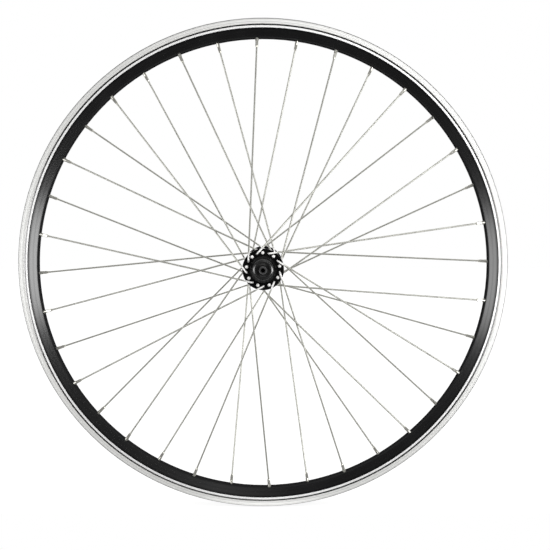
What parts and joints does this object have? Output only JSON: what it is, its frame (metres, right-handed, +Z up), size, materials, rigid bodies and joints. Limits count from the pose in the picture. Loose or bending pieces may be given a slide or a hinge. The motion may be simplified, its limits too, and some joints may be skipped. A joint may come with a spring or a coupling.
{
  "type": "bicycle front wheel",
  "caption": "Spoked bicycle front wheel: hollow rim with turned brake walls, crossed wire spokes on a two-flange ball-bearing hub, and a hollow axle for a quick release.",
  "frame": {"origin": "the wheel's centre, on the axle's axis and midway between the locknut faces", "axes": "+X forward, +Y along the axle to the left side, +Z up"},
  "size_m": [0.5709, 0.108, 0.571],
  "materials": {
    "rim_alloy": "black anodised, with bright turned brake walls",
    "spoke_steel": "drawn stainless wire",
    "nipple_plated": "nickel plated",
    "hub_black": "gloss black anodised",
    "cap_black": "gloss black",
    "nut_black": "black oxide",
    "axle_steel": "zinc plated",
    "bearing_steel": "ground"
  },
  "bodies": {
    "axle_set": {"axle": "axle_steel", "left_cone": "bearing_steel", "right_cone": "bearing_steel", "left_lock_washer": "nut_black", "right_lock_washer": "nut_black", "left_locknut": "nut_black", "right_locknut": "nut_black"},
    "wheel": {"rim": "rim_alloy", "spoke_01": "spoke_steel", "spoke_02": "spoke_steel", "spoke_03": "spoke_steel", "spoke_04": "spoke_steel", "spoke_05": "spoke_steel", "spoke_06": "spoke_steel", "spoke_07": "spoke_steel", "spoke_08": "spoke_steel", "spoke_09": "spoke_steel", "spoke_10": "spoke_steel", "spoke_11": "spoke_steel", "spoke_12": "spoke_steel", "spoke_13": "spoke_steel", "spoke_14": "spoke_steel", "spoke_15": "spoke_steel", "spoke_16": "spoke_steel", "spoke_17": "spoke_steel", "spoke_18": "spoke_steel", "spoke_19": "spoke_steel", "spoke_20": "spoke_steel", "spoke_21": "spoke_steel", "spoke_22": "spoke_steel", "spoke_23": "spoke_steel", "spoke_24": "spoke_steel", "spoke_25": "spoke_steel", "spoke_26": "spoke_steel", "spoke_27": "spoke_steel", "spoke_28": "spoke_steel", "spoke_29": "spoke_steel", "spoke_30": "spoke_steel", "spoke_31": "spoke_steel", "spoke_32": "spoke_steel", "spoke_33": "spoke_steel", "spoke_34": "spoke_steel", "spoke_35": "spoke_steel", "spoke_36": "spoke_steel", "spoke_nipples": "nipple_plated", "hub_shell": "hub_black", "left_bearing_cup": "bearing_steel", "right_bearing_cup": "bearing_steel", "left_dust_cap": "cap_black", "right_dust_cap": "cap_black"},
    "balls": {"bearing_balls": "bearing_steel"}
  },
  "joints": [
    {"name": "wheel_spin", "type": "hinge", "parent": "axle_set", "child": "wheel", "pos_m": [0, 0, 0], "axis": [0, 1, 0], "continuous": true},
    {"name": "ball_orbit", "type": "hinge", "parent": "axle_set", "child": "balls", "pos_m": [0, 0, 0], "axis": [0, 1, 0], "continuous": true}
  ],
  "couplings": [
    {"joint": "ball_orbit", "follows": "wheel_spin", "ratio": 0.60392}
  ]
}
